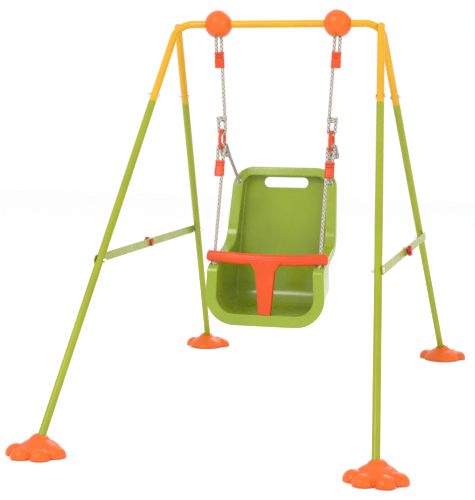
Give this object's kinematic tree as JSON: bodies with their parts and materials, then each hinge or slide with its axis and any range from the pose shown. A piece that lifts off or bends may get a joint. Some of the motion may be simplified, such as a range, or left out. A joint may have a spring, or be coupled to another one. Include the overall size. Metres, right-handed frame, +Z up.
{
  "type": "toddler garden swing set",
  "caption": "A-frame garden swing with paw-shaped feet, rope hangers inside ball covers, a moulded bucket seat and a T-bar that slides up the ropes.",
  "frame": {"origin": "on the floor, under the middle of the top bar", "axes": "+X along the top bar, -Y the way the child faces, +Z up"},
  "size_m": [1.05, 1.77, 1.192],
  "materials": {
    "yellow_paint": "gloss powder coat",
    "green_paint": "gloss powder coat",
    "zinc_steel": "zinc plated",
    "orange_plastic": "moulded, semi-gloss",
    "red_orange_plastic": "moulded, gloss",
    "red_plastic": "moulded, gloss",
    "green_plastic": "moulded, high gloss",
    "braided_rope": "braided cord with dark flecks"
  },
  "bodies": {
    "frame": {"corner_bend_left": "yellow_paint", "welded_stub_left": "yellow_paint", "corner_bend_right": "yellow_paint", "welded_stub_right": "yellow_paint", "crossbar": "yellow_paint", "upper_leg_front_left": "green_paint", "lower_leg_front_left": "green_paint", "paw_foot_front_left": "orange_plastic", "upper_leg_front_right": "green_paint", "lower_leg_front_right": "green_paint", "paw_foot_front_right": "orange_plastic", "upper_leg_rear_left": "green_paint", "lower_leg_rear_left": "green_paint", "paw_foot_rear_left": "orange_plastic", "upper_leg_rear_right": "green_paint", "lower_leg_rear_right": "green_paint", "paw_foot_rear_right": "orange_plastic", "leg_joint_bolts": "zinc_steel", "leg_joint_nuts": "zinc_steel", "brace_bolts": "zinc_steel", "brace_nuts": "zinc_steel", "brace_spacers": "zinc_steel", "brace_studs": "zinc_steel", "ball_screws": "zinc_steel", "hanger_nuts": "zinc_steel", "brace_front_half_left": "green_paint", "brace_rear_half_left": "green_paint", "brace_stud_cap_left": "red_plastic", "ball_upper_shell_left": "orange_plastic", "ball_lower_shell_left": "orange_plastic", "hanger_eyebolt_left": "zinc_steel", "brace_front_half_right": "green_paint", "brace_rear_half_right": "green_paint", "brace_stud_cap_right": "red_plastic", "ball_upper_shell_right": "orange_plastic", "ball_lower_shell_right": "orange_plastic", "hanger_eyebolt_right": "zinc_steel"},
    "swing_ropes": {"rope_upper_left": "braided_rope", "loop_knot_upper_left": "braided_rope", "adjuster_upper_left": "red_orange_plastic", "rope_ring_left": "red_orange_plastic", "rope_upper_right": "braided_rope", "loop_knot_upper_right": "braided_rope", "adjuster_upper_right": "red_orange_plastic", "rope_ring_right": "red_orange_plastic"},
    "seat": {"rope_front_left": "braided_rope", "rope_rear_left": "braided_rope", "loop_knot_rear_left": "braided_rope", "adjuster_lower_left": "red_orange_plastic", "seat_knots_left": "braided_rope", "rope_front_right": "braided_rope", "rope_rear_right": "braided_rope", "loop_knot_rear_right": "braided_rope", "adjuster_lower_right": "red_orange_plastic", "seat_knots_right": "braided_rope", "seat_shell": "green_plastic"},
    "t_bar": {"t_bar": "red_orange_plastic"},
    "knob_left": {"brace_knob_left": "red_plastic"},
    "knob_right": {"brace_knob_right": "red_plastic"}
  },
  "joints": [
    {"name": "swing_hinge", "type": "hinge", "parent": "frame", "child": "swing_ropes", "pos_m": [0, 0, 1.125], "axis": [1, 0, 0], "range_deg": [-30, 30]},
    {"name": "seat_tilt", "type": "hinge", "parent": "swing_ropes", "child": "seat", "pos_m": [0, 0, 0.801], "axis": [1, 0, 0], "range_deg": [-15, 15]},
    {"name": "t_bar_slide", "type": "slide", "parent": "seat", "child": "t_bar", "axis": [0, 0.3007, 0.9537], "range_m": [0, 0.2]},
    {"name": "knob_turn_right", "type": "hinge", "parent": "frame", "child": "knob_right", "pos_m": [0.3893, 0, 0.4735], "axis": [0.9939, 0, 0.1106], "range_deg": [-540, 0]},
    {"name": "knob_turn_left", "type": "hinge", "parent": "frame", "child": "knob_left", "pos_m": [-0.3893, 0, 0.4735], "axis": [-0.9939, 0, 0.1106], "range_deg": [-540, 0]}
  ]
}
